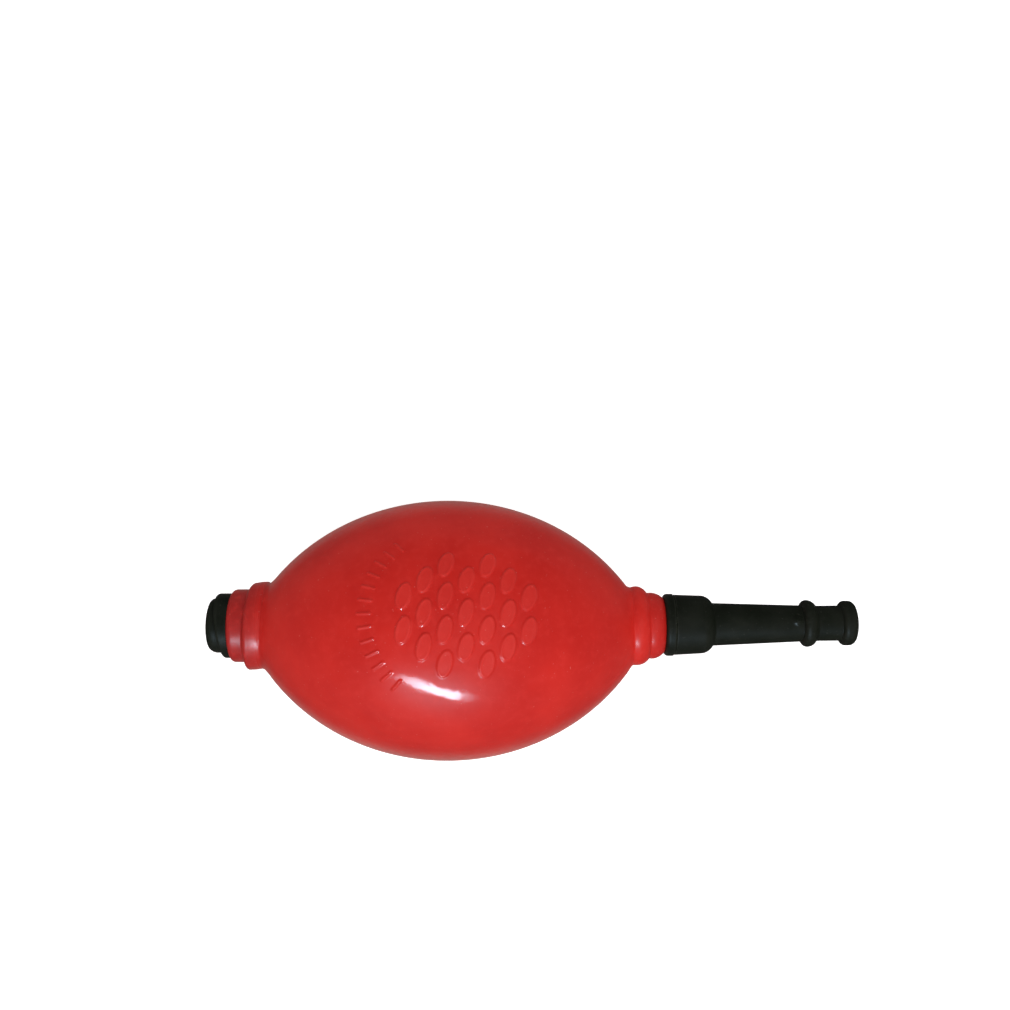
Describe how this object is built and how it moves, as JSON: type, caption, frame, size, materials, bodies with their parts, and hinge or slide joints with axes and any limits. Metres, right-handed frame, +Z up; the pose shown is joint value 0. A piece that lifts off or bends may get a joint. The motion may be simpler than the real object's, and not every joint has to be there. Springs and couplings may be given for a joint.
{
  "type": "dust blower bulb",
  "caption": "Hand-squeezed lemon-shaped rubber air bulb with a one-way valve in each neck and a push-on tapered nozzle, for blowing dust off small parts.",
  "frame": {"origin": "centre of the bulb, on its axis", "axes": "+X along the axis towards the nozzle's mouth, +Z up with the emblem's side on top, Y is the direction of the squeeze"},
  "size_m": [0.15, 0.0598, 0.0598],
  "materials": {
    "bulb_rubber": "smooth moulded, slightly glossy",
    "black_plastic": "satin moulded",
    "valve_rubber": "matte",
    "cage_plastic": "natural white",
    "screen_metal": "fine gauze"
  },
  "bodies": {
    "blower": {"bulb": "bulb_rubber", "intake_valve_housing": "black_plastic", "intake_cap": "black_plastic", "intake_screen": "screen_metal", "intake_valve_cage": "cage_plastic", "outlet_valve_housing": "black_plastic", "outlet_valve_cage": "cage_plastic"},
    "thumb_side": {"bulb_thumb_side": "bulb_rubber"},
    "finger_side": {"bulb_finger_side": "bulb_rubber"},
    "intake_disc": {"intake_valve_disc": "valve_rubber"},
    "outlet_disc": {"outlet_valve_disc": "valve_rubber"},
    "nozzle": {"nozzle": "black_plastic"}
  },
  "joints": [
    {"name": "thumb_squeeze", "type": "slide", "parent": "blower", "child": "thumb_side", "axis": [0, 1, 0], "range_m": [0, 0.011], "stiffness_N_per_m": 400},
    {"name": "finger_squeeze", "type": "slide", "parent": "blower", "child": "finger_side", "axis": [0, -1, 0], "range_m": [0, 0.011], "stiffness_N_per_m": 400},
    {"name": "intake_disc_lift", "type": "slide", "parent": "blower", "child": "intake_disc", "axis": [1, 0, 0], "range_m": [0, 0.00115]},
    {"name": "outlet_disc_lift", "type": "slide", "parent": "blower", "child": "outlet_disc", "axis": [1, 0, 0], "range_m": [0, 0.00115]},
    {"name": "nozzle_pull", "type": "slide", "parent": "blower", "child": "nozzle", "axis": [1, 0, 0], "range_m": [0, 0.01]}
  ],
  "couplings": [
    {"joint": "finger_squeeze", "follows": "thumb_squeeze", "ratio": 1}
  ]
}
